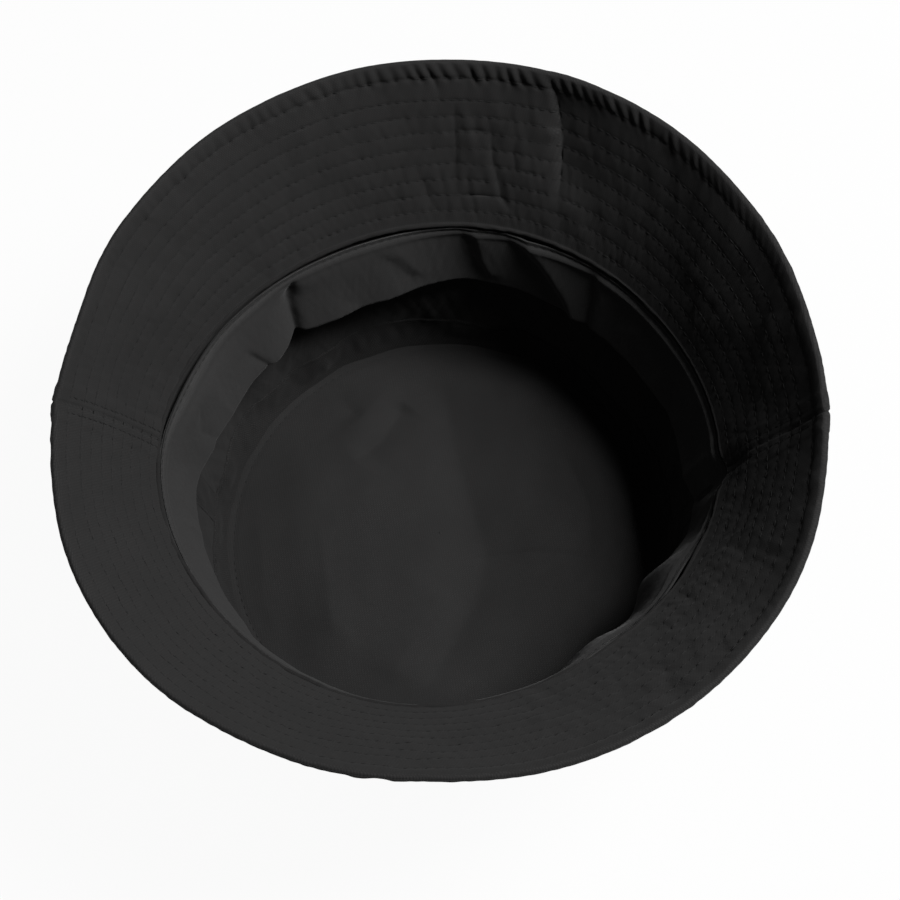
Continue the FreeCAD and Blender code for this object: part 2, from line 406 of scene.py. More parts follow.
def brim_path(degrees, *points):
    """A line on the brim for brim_local, from points given as (degrees, share)."""
    path = []
    for d, s in points:
        radius = MID_RADIUS + BRIM_WIDTH * s * math.cos(math.radians(BRIM_SLOPE))
        path.append((math.radians(d - degrees) * radius, s * BRIM_WIDTH))
    return path


# Creases (+) and ridges (-) of the whole brim: (mm deep, width in mm or a pair of them, points as (degrees
# round, share of the brim's width)).
BRIM_CREASES = (
    (0.75, (0.8, 2.6), (89.7, 0.80), (89.7, 0.58), (88.7, 0.18)),
    (0.75, (2.6, 0.8), (83.7, 0.66), (83.2, 0.45), (80.7, 0.19), (76.2, 0.07)),
    (0.45, 0.8, (90, 0.585), (83.5, 0.592)),
    (0.50, 0.8, (89, 0.183), (80.4, 0.192)),
    (3.10, (18, 1.2), (75.2, 1.06), (71.5, 0.65), (68.7, 0.18)),
    (-2.60, (45, 25), (34, 1.15), (36, 0.60), (35, 0.10)),
    (0.45, (2.2, 0.8), (68, 0.90), (66, 0.60)),
    (0.45, 0.9, (93.5, 0.97), (92.5, 0.80)),
    (0.40, 0.9, (87, 0.98), (86, 0.84)),
    (0.35, 1, (79.5, 0.55), (78, 0.33)),
    (0.35, 1, (96, 0.30), (94.5, 0.10)),
    (0.35, 1.2, (104.5, 0.22), (108, 0.10)),
    (-0.40, 1.8, (291.5, 0.10), (290.5, 0.5), (288, 0.88)),
    (0.40, 2.4, (306, 0.92), (311, 0.62), (309, 0.30)),
    (-0.30, 2.2, (321, 0.78), (317, 0.45), (322, 0.15)),
    (0.35, 2, (337, 0.95), (334, 0.55), (339, 0.28)),
    (0.30, 2.2, (26, 0.85), (30, 0.50), (27, 0.20)),
    (-0.25, 2.4, (203, 0.90), (207, 0.55), (204, 0.22)),
    (0.25, 2.2, (243, 0.86), (240, 0.50), (244, 0.15)),
)


def scaled(width):
    return tuple(w * MM for w in width) if isinstance(width, tuple) else width * MM


def brim_mid(angle, share):
    """The brim's middle with its dents, which go through all its layers."""
    _, outward = opening(angle)
    slope = brim_slope(angle)
    tilt = np.sin(slope)[..., None]
    normal = np.concatenate([-outward[..., :2] * tilt, np.cos(slope)[..., None]], axis=-1)
    metres = share * BRIM_WIDTH
    free = smooth(share, 0.0, 0.5)
    dent = BROAD_DENTS * ripples(angle, metres, 11, (5, 14), (0.06, 0.2)) * free
    inside = smooth(share, 0, 0.15) * (1 - 0.7 * smooth(share, 0.88, 1.0))
    dent += SMALL_DENTS * ripples(angle, metres, 12, (20, 60), (0.018, 0.05), 40) * inside
    # The cloth is liveliest at the far right, and then at the near right.
    far, near = degrees_arc(angle, 84, 1.0), degrees_arc(angle, 320, 1.0)
    lively = 0.35 + 1.1 * bump(far, 0.28) + 0.6 * bump(near, 0.5)
    dent += FINE_DENTS * lively * ripples(angle, metres, 13, (60, 160), (0.012, 0.05), 60) * inside
    for depth, width, *points in BRIM_CREASES:
        degrees = points[0][0]
        x, y = brim_local(angle, share, degrees)
        dent -= depth * MM * fold(x, y, brim_path(degrees, *points), scaled(width))
    for side, lift in (("right", 1.0), ("left", 1.3)):
        off = wrapped(angle - seam_angle(side, share)) * (MID_RADIUS + metres * 0.5)
        dent -= lift * MM * 0.5 * bump(off, 5 * MM) * share ** 2
    return brim(angle, share) + normal * dent[..., None]


def frame_at(surface, angle, share):
    """Point, unit vectors round and across, and the normal that looks into the hat, of a surface."""
    da, ds = 0.3 * MM / MID_RADIUS, 0.004
    point = surface(angle, share)
    around = unit(surface(angle + da, share) - surface(angle - da, share))
    across = unit(surface(angle, share + ds) - surface(angle, share - ds))
    normal = unit(np.cross(across, around))
    outward = (normal * [1, 1, 0] * point).sum(-1) > 0
    return point, around, across, normal * np.where(outward, -1, 1)[..., None]


def row_count(surface, share):
    """How many stitches a row round the hat has."""
    a = np.linspace(0, TAU, 361)
    p = surface(a, np.zeros_like(a) + share)
    return int(round(np.linalg.norm(np.diff(p, axis=0), axis=-1).sum() / STITCH_PITCH))


def stitched_groove(angle, offset, count, depth, width):
    """A line of stitches pulls the cloth in, most where the needle went."""
    pull = 0.62 + 0.38 * np.cos(angle * count)
    return -depth * pull * bump(offset, width)


BRIM_COUNTS = [row_count(brim, share) for share in ROW_SHARES]
EDGE_COUNT = row_count(brim, EDGE_SHARE)


def brim_relief(angle, share, under):
    """The face's own small relief, in metres: rows of stitching, the hem's puckers and the side seams."""
    metres = share * BRIM_WIDTH
    degrees = np.degrees(wrapped(angle - math.pi) + math.pi)
    phase = 0 if under else math.pi
    relief = np.zeros_like(angle)
    for row, (row_share, count) in enumerate(zip(ROW_SHARES, BRIM_COUNTS)):
        offset = metres - row_share * BRIM_WIDTH
        tension = 1 + 0.4 * ripples(angle, angle * 0, 90 + row, (9, 70), (1, 2))
        tension += 0.8 * bump(degrees - 130, 45)
        depth, width = ROW_PULL
        relief += stitched_groove(angle + phase / count, offset, count, depth * tension, width)
    # The cloth swells a little between the rows.
    between = 0.5 - 0.5 * np.cos(TAU * (share - FIRST_ROW) / ROW_SPACING)
    quilted = (share > FIRST_ROW) & (share < ROW_SHARES[-1])
    relief += np.where(quilted, QUILTING * between, QUILTING / 2)
    offset = metres - EDGE_SHARE * BRIM_WIDTH
    depth, width = EDGE_PULL
    pulled = depth * (0.5 + 0.5 * bump(degrees - 95, 60))
    relief += stitched_groove(angle + phase / EDGE_COUNT, offset, EDGE_COUNT, pulled, width)
    # Between the edge stitch and the edge the seam allowance fills the hem, and sewing has puckered it, most
    # on the far side.
    hem = np.clip(offset / EDGE_ROW, 0, 1)
    swell = np.sin(np.pi * hem) * HEM_SWELL
    far_side = 1.25 * bump(degrees - 78, 36) + 0.35 * bump(degrees - 135, 34) + 0.07
    if not under:
        far_side = 0.3 * far_side + 0.15
    metres_round = angle * (MID_RADIUS + metres * 0.5)
    slant = metres_round - offset * PUCKER_SLANT
    slant += 0.7 * MM * ripples(angle, metres, 21, (8, 30), (0.03, 0.08))
    pucker = np.abs(np.sin(np.pi * slant / PUCKER_LENGTH)) ** 0.8 - 0.6
    uneven = 0.85 + 0.22 * ripples(angle, metres, 22, (20, 70), (0.05, 0.2))
    reach = smooth(offset, -2.5 * MM, 0.6 * MM) * (1 - 0.8 * smooth(hem, 0.55, 1.0))
    relief += swell + PUCKER_HEIGHT * pucker * far_side * uneven * reach
    # Wrinkles of the face alone.
    relief += 0.035 * MM * ripples(angle, metres, 23 + under, (90, 260), (0.004, 0.016), 60)
    patchy = smooth(ripples(angle, metres, 27 + under, (4, 12), (0.04, 0.12)), -0.2, 1.2)
    relief += 0.10 * MM * patchy * ripples(angle, metres, 29 + under, (30, 90), (0.012, 0.05), 50)
    for side in ("right", "left"):
        off = wrapped(angle - seam_angle(side, share)) * (MID_RADIUS + metres * 0.5)
        allowance = smooth(-np.abs(off), -SEAM_WIDTH - 0.5 * MM, -SEAM_WIDTH + 0.5 * MM)
        depth, width = SEAM_GROOVE
        relief += HEM_SWELL * allowance - depth * np.exp(-np.abs(off) / width)
        beside = np.abs(off) - SEAM_STITCH
        count = TAU * BRIM_WIDTH / STITCH_PITCH
        relief += stitched_groove(metres / BRIM_WIDTH, beside, count, *SEAM_PULL)
    return relief


def brim_columns():
    """Shares of the brim's width for a grid, closer together at the stitching, then the turn at the edge."""
    shares = set(np.round(np.linspace(0, 1 - BRIM_HALF / BRIM_WIDTH, BRIM_PLAIN_COLUMNS), 5))
    for row_share in ROW_SHARES + [EDGE_SHARE]:
        for step in (-0.9, -0.35, 0, 0.35, 0.9):
            shares.add(round(row_share + step * MM / BRIM_WIDTH, 5))
    shares = np.array(sorted(shares))
    shares = shares[np.append(True, np.diff(shares) > 0.25 * MM / BRIM_WIDTH)]
    turn = np.linspace(0, math.pi / 2, 7)[1:]
    shares = np.append(shares, 1 - (1 - np.sin(turn)) * BRIM_HALF / BRIM_WIDTH)
    height = np.append(np.ones(len(shares) - len(turn)), np.cos(turn))
    return shares, height


def half_grid(half, shares, steps):
    """Angles and shares of the grid of the back or front half, between the slanting side seams."""
    first, last = seam_angle("right", shares), seam_angle("left", shares)
    if half == "front":
        first, last = last, seam_angle("right", shares) + TAU
    t = np.linspace(0, 1, steps)[:, None]
    return first + (last - first) * t, np.zeros((steps, 1)) + shares


def developed(angle, share, width, slope):
    """Where a point of a cone that starts at the joint lies on its flat pattern, in metres."""
    apart = MID_RADIUS / math.cos(slope)
    middle = math.pi / 2 if angle.mean() % TAU < math.pi else 3 * math.pi / 2
    turn = (angle % TAU - middle) * math.cos(slope)
    out = apart + share * width
    return np.stack([out * np.sin(turn), out * np.cos(turn)], axis=-1)


def cut_as_panel(made, node):
    """Hides the node that half a cone of cloth replaces."""
    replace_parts(made, node)


def make_brim_cloth(half, under):
    shares, height = brim_columns()
    angle, share = half_grid(half, shares, BRIM_STEPS)
    point, _, across, normal = frame_at(brim_mid, angle, share)
    side = 1 if under else -1
    relief = brim_relief(angle, share, under)
    # The seam round the edge leaves a fine groove on its crest.
    edge = smooth(1 - height, 0.75, 1.0) * 0.2 * MM
    face = point + normal * (side * height * (BRIM_HALF + relief))[..., None] - across * edge[..., None]
    inner = np.minimum(share, 1 - 0.9 * MM / BRIM_WIDTH)
    back, _, _, back_normal = frame_at(brim_mid, angle, inner)
    back += back_normal * (side * (BRIM_HALF - LAYER) * (0.3 + 0.7 * height))[..., None]
    back += back_normal * (side * np.minimum(relief, 0) * height)[..., None]
    slope = math.radians(BRIM_SLOPE)
    uv = developed(angle, share, BRIM_WIDTH, slope)
    kind, slot = ("underside", "brim_underside_twill") if under else ("top_side", "black_twill")
    made = cloth(f"brim_{kind}_cloth_{half}", slot, face, back, uv, flip=not under)
    cut_as_panel(made, f"brim_{kind}_{half}")


def make_interlining(half):
    shares = np.linspace(0.01, EDGE_SHARE - 0.01, 30)
    angle, share = half_grid(half, shares, 160)
    point, _, _, normal = frame_at(brim_mid, angle, share)
    apart = normal * (INTERLINING / 2)
    slope = math.radians(BRIM_SLOPE)
    uv = developed(angle, share, BRIM_WIDTH, slope)
    made = cloth(f"brim_interlining_cloth_{half}", "interlining", point + apart, point - apart, uv)
    cut_as_panel(made, f"brim_interlining_{half}")


def brim_row(angle, share, face, across=False):
    """A row of stitches on the underside (1) or the top side (-1), across the brim or round it."""
    point, around, out, normal = frame_at(brim_mid, angle, share)
    lift = BRIM_HALF + brim_relief(angle, share, face > 0) + THREAD_LIFT
    return point + normal * (face * lift)[:, None], out if across else around, normal * face


def rows_round_brim(shares, counts):
    """Rows round the brim on both faces, half a stitch apart."""
    rows = []
    for row_share, count in zip(shares, counts):
        for face in (1, -1):
            angle = (np.arange(count) + (0.5 if face > 0 else 0)) * TAU / count
            rows.append(brim_row(angle, np.zeros(count) + row_share, face))
    return rows


def rows_beside_seam(side):
    """Both rows beside a side seam of the brim, on both faces."""
    count = int((BRIM_WIDTH - 3 * MM) / STITCH_PITCH)
    share = (np.arange(count) + 0.5) * STITCH_PITCH / BRIM_WIDTH
    rows = []
    for face in (1, -1):
        for beside in (-SEAM_STITCH, SEAM_STITCH):
            angle = seam_angle(side, share) + beside / (MID_RADIUS + share * BRIM_WIDTH * 0.5)
            rows.append(brim_row(angle, share, face, across=True))
    return rows


# ------------ crown

CROWN_HEIGHT = JOINT_Z - TWILL
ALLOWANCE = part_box("crown_seam_tape")[1].z - TWILL  # how far the tape over the tip seam goes up
TIP_STITCH = 4 * MM
CROWN_SLOPE = math.radians(-82)
CROWN_CLOTH = 0.8 * MM  # its thickness
CROWN_FOOT = 0.9 * MM  # how far it turns in at the tip seam
CROWN_DENTS, CROWN_RIPPLES, CROWN_WRINKLES = 1.0 * MM, 0.35 * MM, 0.10 * MM
# The far left of the wall is hollow below the band: its depth, where in degrees, and its width in radians.
HOLLOW, HOLLOW_PLACE, HOLLOW_WIDTH = 3.0 * MM, 128, 0.42
CROWN_STEPS, CROWN_COLUMNS = 360, 90


def crown_bent(angle, share):
    """The crown side's inner face with its dents, turning in at the tip seam."""
    point = crown(angle, share)
    _, outward = opening(angle)
    down = share * CROWN_HEIGHT
    foot = smooth(share, 0.93, 1.0) ** 2 * CROWN_FOOT
    free = smooth(share, 0.0, 0.35) * (1 - smooth(share, 0.86, 1.0))
    nearly_all = smooth(share, 0, 0.1) * (1 - smooth(share, 0.93, 1))
    dent = free * CROWN_DENTS * ripples(angle, down, 41, (3, 9), (0.07, 0.2))
    hollow = bump(degrees_arc(angle, HOLLOW_PLACE, 1.0), HOLLOW_WIDTH) * np.sin(np.pi * share)
    dent -= free * HOLLOW * hollow
    dent += free * CROWN_RIPPLES * ripples(angle, down, 42, (10, 28), (0.025, 0.07), 40)
    dent += nearly_all * CROWN_WRINKLES * ripples(angle, down, 43, (30, 100), (0.01, 0.03), 60)
    return point - outward * (foot + dent)[..., None]


def make_crown_side(half):
    shares = np.linspace(0, 1, CROWN_COLUMNS)
    angle, _ = half_grid(half, shares * 0, CROWN_STEPS)
    share = np.zeros((CROWN_STEPS, 1)) + shares
    face, _, _, normal = frame_at(crown_bent, angle, share)
    down = share * CROWN_HEIGHT
    fine = 0.05 * MM * ripples(angle, down, 44, (90, 240), (0.004, 0.014), 50)
    face += normal * fine[..., None]
    thick = CROWN_CLOTH + 0.04 * MM * ripples(angle, down, 45, (60, 200), (0.005, 0.02), 50)
    back = face - normal * thick[..., None]
    for side in ("right", "left"):
        off = np.abs(wrapped(angle - seam_angle(side, share * 0)) * MID_RADIUS)
        groove = 0.45 * MM * np.exp(-off / (0.5 * MM))
        allowance = 0.25 * MM * smooth(-off, -SEAM_WIDTH, -SEAM_WIDTH + 1 * MM)
        back += normal * (groove - allowance)[..., None]
    uv = developed(angle, share, -CROWN_HEIGHT, CROWN_SLOPE)
    made = cloth(f"crown_side_cloth_{half}", "black_twill", face, back, uv)
    cut_as_panel(made, f"crown_side_{half}")


# Ridges (+) and valleys (-) of the tip: (mm high, widths to the right and left, points in mm from its
# middle).
TIP_FOLDS = (
    (-3.3, (14, 11), (-5, 68), (-3, 57), (0, 40), (5, 24), (10, 8), (15, -6), (12, -23),
     (5, -39), (-3, -58), (-7, -70)),
    (1.2, (10, 6), (3, -18), (-8, -36), (-18, -58)),
    (-2.6, (3.5, 8), (-18, 56), (-22, 47), (-26, 39), (-36, 28)),
    (-2.2, (6, 5), (-58, 60), (-45, 57), (-34, 46)),
    (-0.9, (2, 2), (5, -8), (31, -5), (57, -6)),
    (0.7, (5, 2.5), (-70, 26), (-71, 5), (-67, -11), (-66, -26), (-56, -45)),
    (1.2, (6, 6), (-48, 6), (-42, -20), (-38, -42)),
    (-1.2, (4, 4), (42, 36), (52, 14), (54, -10)),
)


TIP_COUNT = int(round(TAU * (TIP_HALF_WIDTH - TIP_STITCH) / STITCH_PITCH))
TIP_WAVES = 120
TIP_UNEVENNESS = 0.0016  # the height of a wave in the tip's cloth, in shares of its length
TIP_CLOTH = 0.75 * MM
TIP_STEPS, TIP_RINGS = 420, 110


def tip_level(angle):
    """The share of the way to its seam from which the tip sinks to it, sooner on the left."""
    return 0.70 + 0.12 * np.cos(angle)


def tip_height(x, y, reach, level):
    """The tip's upper face, in metres above its flat place. reach is 0 at its middle and 1 at its seam."""
    random = np.random.default_rng(61)
    height = np.zeros_like(x)
    for _ in range(TIP_WAVES):
        length = random.uniform(0.012, 0.07)
        heading = random.uniform(0, TAU)
        wave = (x * math.cos(heading) + y * math.sin(heading)) * TAU / length + random.uniform(0, TAU)
        height += TIP_UNEVENNESS * length * np.cos(wave)
    for rise, width, *points in TIP_FOLDS:
        path = [(px * MM, py * MM) for px, py in points]
        height += rise * MM * fold(x, y, path, scaled(width), 0.2)
    return height * (1 - smooth(reach, level, 1.0))


def make_tip():
    angle, reach = ring_grid(TIP_STEPS, np.linspace(0.0005, 1, TIP_RINGS))
    flat = tip_edge(angle, 1.0)
    middle = np.array([*TIP_SHIFT, 0])
    flat = middle + (flat - middle) * reach[..., None]
    x, y = flat[..., 0], flat[..., 1]
    level = tip_level(angle)
    height = tip_height(x, y, reach, level)
    from_edge = (1 - reach) * (TIP_HALF_WIDTH + TIP_HALF_DEPTH) / 2
    groove = stitched_groove(angle, from_edge - TIP_STITCH, TIP_COUNT, 0.35 * MM, 0.7 * MM)
    rise = height - min(0, height.min()) * (1 - smooth(reach, level, 1.0))
    top = TWILL + rise + groove + 0.15 * MM * smooth(-from_edge, -TIP_STITCH, -1 * MM)
    face = np.stack([x, y, top], axis=-1)
    back = np.stack([x, y, np.maximum(top - TIP_CLOTH, 0)], axis=-1)
    uv = np.stack([x, y], axis=-1)
    uv = np.concatenate([uv, uv[:1]])
    made = cloth("tip_cloth", "black_twill", face, back, uv, closed=True, flip=True)
    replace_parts(made, "top_panel")
    flat = (2 * TIP_HALF_WIDTH, 2 * TIP_HALF_DEPTH)


# ------------ tapes

TAPE_BACK = 0.06 * MM  # from the crown's face to the tape's back
TAPE_ROW = ALLOWANCE - 2.2 * MM  # the crown tape's stitching, up from the tip
SIDE_TAPE_WIDTH = 12 * MM
TAPE_STEPS = 480


def rounded(distance, radius):
    """A strip's share of its height at a distance from its free edge, which is rounded."""
    return np.sqrt(np.clip(1 - (1 - np.clip(distance / radius, 0, 1)) ** 2, 0, 1))


def ring_uv(steps, length, offsets):
    """Pattern coordinates of a strip that closes round the hat."""
    u = np.linspace(0, length, steps + 1)[:, None] + np.zeros((1, len(offsets)))
    return np.stack([u, np.zeros((steps + 1, 1)) + offsets], axis=-1)


def make_crown_tape():
    """The tape over the seam allowances: up the crown's inner face from the tip seam."""
    along = np.append(np.linspace(0, ALLOWANCE - 0.5 * MM, 26), ALLOWANCE - np.array([0.3, 0.12, 0]) * MM)
    angle, along = ring_grid(TAPE_STEPS, along)
    share = 1 - along / CROWN_HEIGHT
    point, _, _, normal = frame_at(crown_bent, angle, share)
    rim = rounded(ALLOWANCE - along, 0.6 * MM)
    count = int(round(TAU * TIP_HALF_WIDTH / STITCH_PITCH))
    wave = 0.25 * MM * ripples(angle, along, 51, (10, 30), (0.02, 0.06), 40)
    puff = 0.12 * MM * ripples(angle, along, 52, (40, 120), (0.012, 0.04), 40) * smooth(along, 2 * MM, 5 * MM)
    height = 0.12 * MM + (0.5 * MM + 0.7 * wave + 0.6 * puff) * rim
    height += stitched_groove(angle, along - TAPE_ROW, count, 0.25 * MM, 0.6 * MM)
    face = point + normal * np.maximum(height, 0.15 * MM)[..., None]
    back = point + normal * TAPE_BACK
    uv = ring_uv(TAPE_STEPS, TAU * TIP_HALF_WIDTH, along[0])
    made = cloth("crown_seam_tape_strip", "seam_tape", face, back, uv, closed=True, flip=True)
    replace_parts(made, "crown_seam_tape")


def make_side_tape(side):
    """The tape over a side seam of the crown, down from the sweatband's joint."""
    half_width = SIDE_TAPE_WIDTH / 2
    along = np.linspace(4 * MM, CROWN_HEIGHT - ALLOWANCE - 0.5 * MM, 70)
    across = np.linspace(-half_width, half_width, 15)
    share = (along / CROWN_HEIGHT)[:, None] + 0 * across
    angle = seam_angle(side, share * 0) + across / MID_RADIUS
    point, _, _, normal = frame_at(crown_bent, angle, share)
    rim = np.sqrt(np.clip(1 - (np.abs(across) / half_width) ** 6, 0, 1))
    seed = 55 if side == "left" else 56
    uneven = 0.1 * MM * ripples(angle, along[:, None], seed, (30, 90), (0.01, 0.03))
    height = 0.15 * MM + (0.45 * MM + uneven) * rim
    for row in (-1, 1):
        height -= 0.2 * MM * bump(across - row * (half_width - 1.6 * MM), 0.5 * MM)
    face = point + normal * np.maximum(height, 0.16 * MM)[..., None]
    back = point + normal * TAPE_BACK
    uv = np.stack(np.broadcast_arrays(across[None, :], along[:, None]), axis=-1)
    made = cloth(f"side_seam_tape_strip_{side}", "seam_tape", face, back, uv)
    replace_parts(made, f"side_seam_tape_{side}")


# ------------ sweatband

BAND_THICKNESS = 0.8 * MM
PIPING = 0.85 * MM
BAND_START = 1.6 * MM  # how far the band's face is from the crown there
BAND_TOP = 1.4 * MM  # where the band comes out from under the piping, down from the joint
BAND_ROW = 2.5 * MM  # the stitching beside the piping, down from the joint
BAND_HEM = 6.0 * MM  # how much of the free edge is turned under
BAND_STEPS = 790
# How far the band's free edge stands off the crown, and where it is more or less, in mm: (mm more, degrees
# round, width in degrees).
BAND_GAP = 5.0
BAND_STANDS = (
    (1.2, 58, 9), (-1, 88, 9), (3.8, 105, 11), (5, 121, 12), (6, 140, 9), (5, 157, 10),
    (4, 170, 8), (0.9, 205, 14), (1.5, 250, 12), (0.8, 285, 9), (1, 325, 22), (4.4, 334, 7),
    (3.4, 310, 8), (-3, 353, 9), (1, 36, 8),
)
# The share of the gap that the band reaches just under the piping, and where it bellies out there: (share
# more, degrees round, width in degrees).
BAND_LEAN = 0.3
BAND_SLACK = ((0.50, 336, 10), (0.50, 310, 10), (0.55, 163, 14), (0.15, 108, 15))
# Creases (+) and ridges (-) of the band: (mm deep, width in mm, points as (degrees round, mm down)).
# A pair of widths is for the flank towards smaller angles and the other one, for a line that runs down.
BAND_CREASES = (
    (1.8, (9, 6), (128, 9), (130, 18), (131, 29)),
    (3.2, (1.3, 5), (128, 5), (130, 18), (131, 29)),
    (1.5, (1.2, 4), (146.5, 16), (145, 22), (143, 29)),
    (-0.8, (5, 5), (103.5, 6), (101, 13), (97.5, 21)),
    (0.9, (3, 6), (107, 7), (103.5, 14), (100.5, 22)),
    (0.9, (1.2, 8), (88.3, 2), (87, 7), (85.6, 16), (83.5, 22)),
    (-1.2, (8, 1.3), (86, 2), (84.6, 7), (83.2, 16), (81.3, 23)),
    (1.2, (2, 5), (78.8, 2), (76, 6), (70.5, 13.5), (64.5, 22), (60, 29)),
    (-2.2, (8, 3), (74, 1), (71.5, 6), (66, 13.5), (60.8, 22), (58.5, 28)),
    (1.8, (1.2, 5), (56.5, 3), (55, 15), (53.8, 29)),
    (0.5, (4, 4), (116, 14), (118, 21), (114, 28)),
    (1.3, (3, 4), (166, 10), (170, 18), (168, 28)),
    (-0.7, (3, 5), (158, 7), (161, 17), (160, 28)),
    (-0.6, (4, 4), (197, 10), (194, 20), (195, 29)),
    (0.6, (4, 4), (223, 9), (227, 19), (225, 29)),
    (0.6, (4, 4), (262, 10), (258, 20), (260, 29)),
    (-0.6, (4, 4), (287, 9), (290, 19), (289, 29)),
    (1.6, (2.5, 3.5), (357.5, 2), (357, 12), (358, 29)),
    (-1.2, (3, 4), (3, 3), (3.5, 12), (4, 29)),
    (0.7, (4, 4), (20, 10), (23, 20), (22, 29)),
    (-0.6, (4, 4), (42, 12), (44, 20), (43, 29)),
)


def degrees_off(degrees, place):
    """Degrees from a place, between minus and plus 180."""
    return (degrees - place + 180) % 360 - 180


def band_surface(angle, share):
    """The sweatband's face, from where it leaves the piping (0) to its free edge (1)."""
    down = BAND_TOP + share * (BAND_WIDTH - BAND_TOP)
    point = crown(angle, down / CROWN_HEIGHT)
    inward = -opening(angle)[1]
    degrees = np.degrees(wrapped(angle - math.pi) + math.pi)
    gap = np.zeros_like(angle) + BAND_GAP * MM
    for stand, place, width in BAND_STANDS:
        gap += stand * MM * bump(degrees_off(degrees, place), width)
    slack = BAND_LEAN
    for more, place, width in BAND_SLACK:
        slack = slack + more * bump(degrees_off(degrees, place), width)
    belly = slack * (1 - np.exp(-np.maximum(down, 0) / (6 * MM)))
    lean = belly + (1 - slack) * np.maximum(share, 0) ** 1.2
    height = BAND_START + (gap - BAND_START) * lean
    for depth, width, *points in BAND_CREASES:
        start = points[0][0]
        path = [(math.radians(d - start) * MID_RADIUS, mm * MM) for d, mm in points]
        # Looking down the line from inside the hat, smaller angles are on the left.
        crease = fold(degrees_arc(angle, start, MID_RADIUS), down, path, scaled(width[::-1]), 0.0)
        top, foot = points[0][1], points[-1][1]
        crease = crease * smooth(down, (top - 3) * MM, (top + 5) * MM)
        # A line that ends above the hem fades out there.
        if foot < 25:
            crease = crease * (1 - smooth(down, (foot - 2) * MM, (foot + 8) * MM))
        height -= depth * MM * crease
    uneven = ripples(angle, down, 71, (8, 30), (0.04, 0.12), 40)
    height += 0.16 * MM * uneven * smooth(share, 0.02, 0.5)
    wrinkled = ripples(angle, down, 72, (50, 160), (0.01, 0.03), 60)
    height += 0.025 * MM * wrinkled * smooth(share, 0, 0.2)
    # The stitching beside the piping draws the band in, and the cloth stands up again as a thin shoulder.
    shoulder = (0.35 + 0.6 * bump(degrees - 33, 32)) * MM
    height -= 0.4 * MM * bump(down - BAND_ROW, 0.4 * MM)
    height += shoulder * bump(down - 4.0 * MM, 1.1 * MM)
    return point + inward * np.maximum(height, 1.1 * MM)[..., None]


def make_sweatband():
    seen = BAND_WIDTH - BAND_TOP
    near = np.linspace(0, 5 * MM, 20, endpoint=False)
    rest = np.linspace(5 * MM, seen, 42)
    angle, share = ring_grid(BAND_STEPS, np.append(near, rest) / seen)
    face, _, _, normal = frame_at(band_surface, angle, share)
    # The free edge is turned under, so it is thicker.
    from_edge = (1 - share) * seen
    hem = smooth(-from_edge, -BAND_HEM - 0.6 * MM, -BAND_HEM)
    rim = rounded(from_edge, 0.8 * MM)
    fine = 0.02 * MM * ripples(angle, from_edge, 73, (120, 300), (0.004, 0.014), 50)
    thick = (BAND_THICKNESS + 0.25 * MM * hem) * (0.25 + 0.75 * rim)
    outer = face + normal * (fine - (1 - rim) * 0.35 * MM)[..., None]
    back = face - normal * thick[..., None]
    uv = ring_uv(BAND_STEPS, TAU * MID_RADIUS, share[0] * seen)
    made = cloth("sweatband_strip", "sweatband_twill", outer, back, uv, closed=True)
    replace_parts(made, "sweatband")


def make_piping():
    """A round cord of folded cloth along the joint, over the sweatband's upper edge."""
    steps, sides = 720, 14
    angle, turn = ring_grid(steps, np.linspace(0, TAU, sides, endpoint=False))
    up = np.array([0, 0, 1.0])
    inward = -opening(angle)[1]
    radius = PIPING + 0.06 * MM * ripples(angle, turn * 0.01, 81, (30, 120), (0.02, 0.08), 40)
    middle = crown_bent(angle, np.zeros_like(angle)) + inward * (0.95 * MM) + up * (0.15 * MM)
    wander = ripples(angle, angle * 0, 82, (6, 30), (1, 2))[..., None]
    middle += (inward * 0.15 * MM + up * 0.12 * MM) * wander
    ring = middle + inward * (np.cos(turn) * radius)[..., None] + up * (np.sin(turn) * radius)[..., None]
    faces, uv_faces = tube_quads(steps, sides)
    strip = np.linspace(0, TAU * PIPING, sides + 1)
    uv = ring_uv(steps, TAU * MID_RADIUS, strip)
    made = mesh_object("sweatband_piping_cord", ring, faces, "sweatband_twill", uv, uv_faces)
    # The cord is cut from the band's cloth but takes a darker copy of it: painted shade, to keep the raised
    # cord as dark as the brim.
    made["finish"] = "piping_shaded_twill"
    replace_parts(made, "sweatband_piping")


# ------------ threads of the crown and band

def row_round(surface, share, lift, side=1):
    """Places and directions of one row of stitches round the crown."""
    count = row_count(surface, share)
    angle = np.arange(count) * TAU / count
    point, around, _, normal = frame_at(surface, angle, np.zeros(count) + share)
    return point + normal * (side * lift), around, normal * side


def row_on_tip():
    """The row of stitches round the tip, beside its seam."""
    angle = np.arange(TIP_COUNT) * TAU / TIP_COUNT
    reach, z = 1 - TIP_STITCH / TIP_HALF_WIDTH, TWILL + THREAD_LIFT
    flat = tip_edge(angle, reach, z)
    return flat, unit(tip_edge(angle + 0.01, reach, z) - flat), np.zeros_like(flat) + [0, 0, 1.0]


def rows_down_crown(side):
    """Both rows beside a side seam, on the crown's outside."""
    share = (np.arange(int((CROWN_HEIGHT - 6 * MM) / STITCH_PITCH)) + 1.2) * STITCH_PITCH / CROWN_HEIGHT
    rows = []
    for beside in (-SEAM_STITCH, SEAM_STITCH):
        angle = seam_angle(side, share * 0) + beside / MID_RADIUS
        point, _, across, normal = frame_at(crown_bent, angle, share)
        rows.append((point - normal * (CROWN_CLOTH + 0.2 * MM), across, -normal))
    return rows


